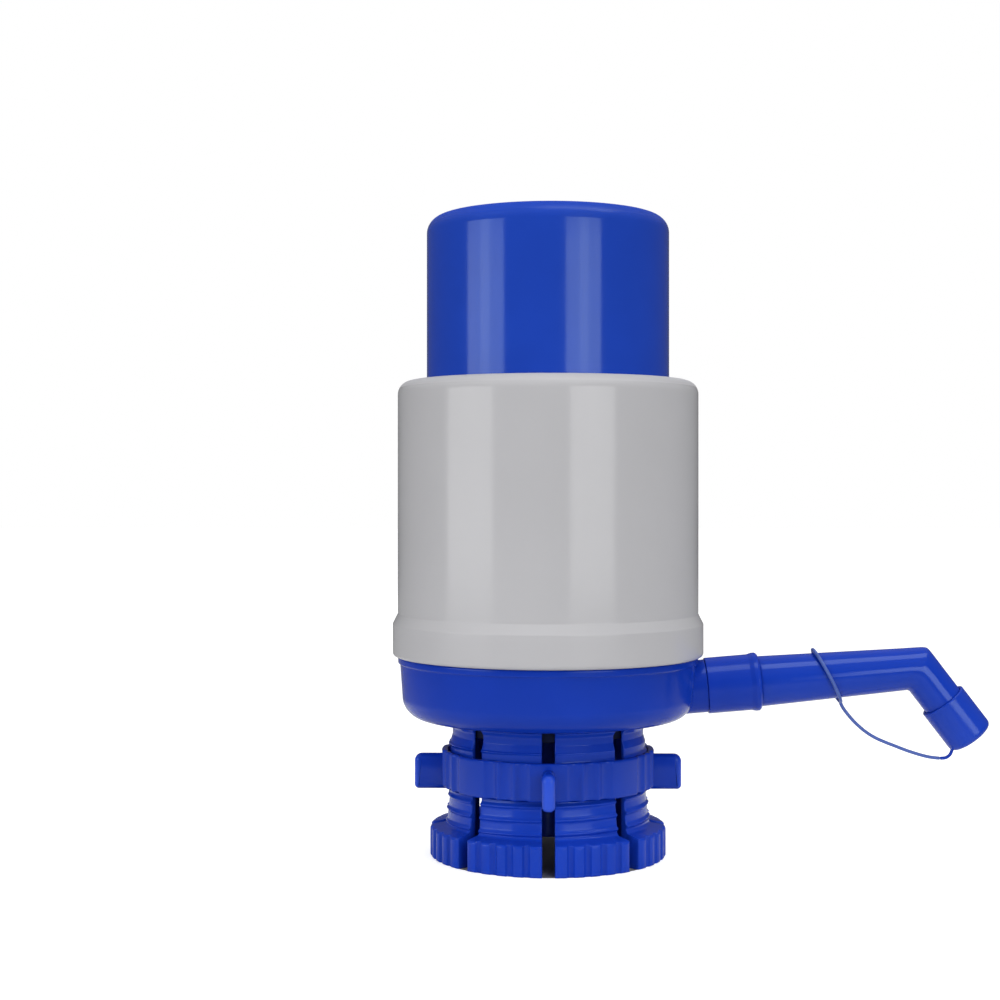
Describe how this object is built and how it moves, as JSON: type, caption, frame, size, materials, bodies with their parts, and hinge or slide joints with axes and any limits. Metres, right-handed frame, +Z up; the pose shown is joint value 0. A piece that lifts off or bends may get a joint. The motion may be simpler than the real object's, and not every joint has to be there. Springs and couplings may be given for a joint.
{
  "type": "water jug pump",
  "caption": "Hand pump for a large water bottle: push button over a round white body, slotted clamp collet with a winged lock ring, and a bent side spout with a tethered cap.",
  "frame": {"origin": "on the pump's axis, in the plane of the collet's feet, where the bottle's neck enters", "axes": "+Z up along the pump's axis, +X towards the spout, +Y away from the picture's viewer"},
  "size_m": [0.178, 0.093, 0.1907],
  "materials": {
    "blue_plastic": "glossy moulded blue",
    "deep_blue_plastic": "glossy moulded dark blue",
    "blue_strap": "soft moulded blue strap",
    "white_plastic": "satin moulded white",
    "inner_white_plastic": "plain white inner moulding",
    "pale_rubber": "matt pale grey",
    "dark_rubber": "matt dark grey"
  },
  "bodies": {
    "base": {"base_bowl": "blue_plastic", "body_shell": "white_plastic", "valve_plate": "inner_white_plastic", "bellows_clamp_ring": "inner_white_plastic", "bellows": "pale_rubber", "dip_tube_socket": "deep_blue_plastic", "neck_gasket": "dark_rubber", "spout_coupling": "blue_plastic"},
    "button": {"button_cap": "blue_plastic", "bellows_top_plate": "inner_white_plastic"},
    "intake_valve": {"intake_valve": "dark_rubber"},
    "outlet_valve": {"outlet_valve": "dark_rubber"},
    "lock_ring": {"lock_ring": "deep_blue_plastic"},
    "finger_1": {"clamp_finger_1": "blue_plastic"},
    "finger_2": {"clamp_finger_2": "blue_plastic"},
    "finger_3": {"clamp_finger_3": "blue_plastic"},
    "finger_4": {"clamp_finger_4": "blue_plastic"},
    "finger_5": {"clamp_finger_5": "blue_plastic"},
    "finger_6": {"clamp_finger_6": "blue_plastic"},
    "finger_7": {"clamp_finger_7": "blue_plastic"},
    "finger_8": {"clamp_finger_8": "blue_plastic"},
    "spout": {"spout_tube": "blue_plastic", "spout_o_ring": "dark_rubber", "cap_tether": "blue_strap"},
    "spout_cap": {"spout_cap": "blue_plastic"}
  },
  "joints": [
    {"name": "button_press", "type": "slide", "parent": "base", "child": "button", "axis": [0, 0, -1], "range_m": [0, 0.038], "stiffness_N_per_m": 300, "springref_m": -0.01, "deforming": ["bellows"]},
    {"name": "intake_valve_lift", "type": "slide", "parent": "button", "child": "intake_valve", "axis": [0, 0, -1], "range_m": [0, 0.0012], "stiffness_N_per_m": 5, "springref_m": -0.002},
    {"name": "outlet_valve_lift", "type": "slide", "parent": "base", "child": "outlet_valve", "axis": [0, 0, -1], "range_m": [0, 0.0012], "stiffness_N_per_m": 5, "springref_m": -0.002},
    {"name": "lock_ring_turn", "type": "hinge", "parent": "base", "child": "lock_ring", "pos_m": [0, 0, 0.0261], "axis": [0, 0, 1], "range_deg": [-540, 0]},
    {"name": "finger_1_flex", "type": "hinge", "parent": "base", "child": "finger_1", "pos_m": [0.01079, -0.02605, 0.0399], "axis": [0.9239, 0.3827, 0], "range_deg": [0, 2], "stiffness_Nm_per_rad": 1},
    {"name": "finger_2_flex", "type": "hinge", "parent": "base", "child": "finger_2", "pos_m": [0.02605, -0.01079, 0.0399], "axis": [0.3827, 0.9239, 0], "range_deg": [0, 2], "stiffness_Nm_per_rad": 1},
    {"name": "finger_3_flex", "type": "hinge", "parent": "base", "child": "finger_3", "pos_m": [0.02605, 0.01079, 0.0399], "axis": [-0.3827, 0.9239, 0], "range_deg": [0, 2], "stiffness_Nm_per_rad": 1},
    {"name": "finger_4_flex", "type": "hinge", "parent": "base", "child": "finger_4", "pos_m": [0.01079, 0.02605, 0.0399], "axis": [-0.9239, 0.3827, 0], "range_deg": [0, 2], "stiffness_Nm_per_rad": 1},
    {"name": "finger_5_flex", "type": "hinge", "parent": "base", "child": "finger_5", "pos_m": [-0.01079, 0.02605, 0.0399], "axis": [-0.9239, -0.3827, 0], "range_deg": [0, 2], "stiffness_Nm_per_rad": 1},
    {"name": "finger_6_flex", "type": "hinge", "parent": "base", "child": "finger_6", "pos_m": [-0.02605, 0.01079, 0.0399], "axis": [-0.3827, -0.9239, 0], "range_deg": [0, 2], "stiffness_Nm_per_rad": 1},
    {"name": "finger_7_flex", "type": "hinge", "parent": "base", "child": "finger_7", "pos_m": [-0.02605, -0.01079, 0.0399], "axis": [0.3827, -0.9239, 0], "range_deg": [0, 2], "stiffness_Nm_per_rad": 1},
    {"name": "finger_8_flex", "type": "hinge", "parent": "base", "child": "finger_8", "pos_m": [-0.01079, -0.02605, 0.0399], "axis": [0.9239, -0.3827, 0], "range_deg": [0, 2], "stiffness_Nm_per_rad": 1},
    {"name": "spout_turn", "type": "hinge", "parent": "base", "child": "spout", "pos_m": [0.0474, 0, 0.05026], "axis": [0.9963, 0, 0.0854], "continuous": true},
    {"name": "cap_pull", "type": "slide", "parent": "spout", "child": "spout_cap", "axis": [0.6088, 0, -0.7934], "range_m": [0, 0.015]}
  ],
  "couplings": [
    {"joint": "finger_1_flex", "follows": "lock_ring_turn", "ratio": -0.0037037},
    {"joint": "finger_2_flex", "follows": "lock_ring_turn", "ratio": -0.0037037},
    {"joint": "finger_3_flex", "follows": "lock_ring_turn", "ratio": -0.0037037},
    {"joint": "finger_4_flex", "follows": "lock_ring_turn", "ratio": -0.0037037},
    {"joint": "finger_5_flex", "follows": "lock_ring_turn", "ratio": -0.0037037},
    {"joint": "finger_6_flex", "follows": "lock_ring_turn", "ratio": -0.0037037},
    {"joint": "finger_7_flex", "follows": "lock_ring_turn", "ratio": -0.0037037},
    {"joint": "finger_8_flex", "follows": "lock_ring_turn", "ratio": -0.0037037}
  ]
}
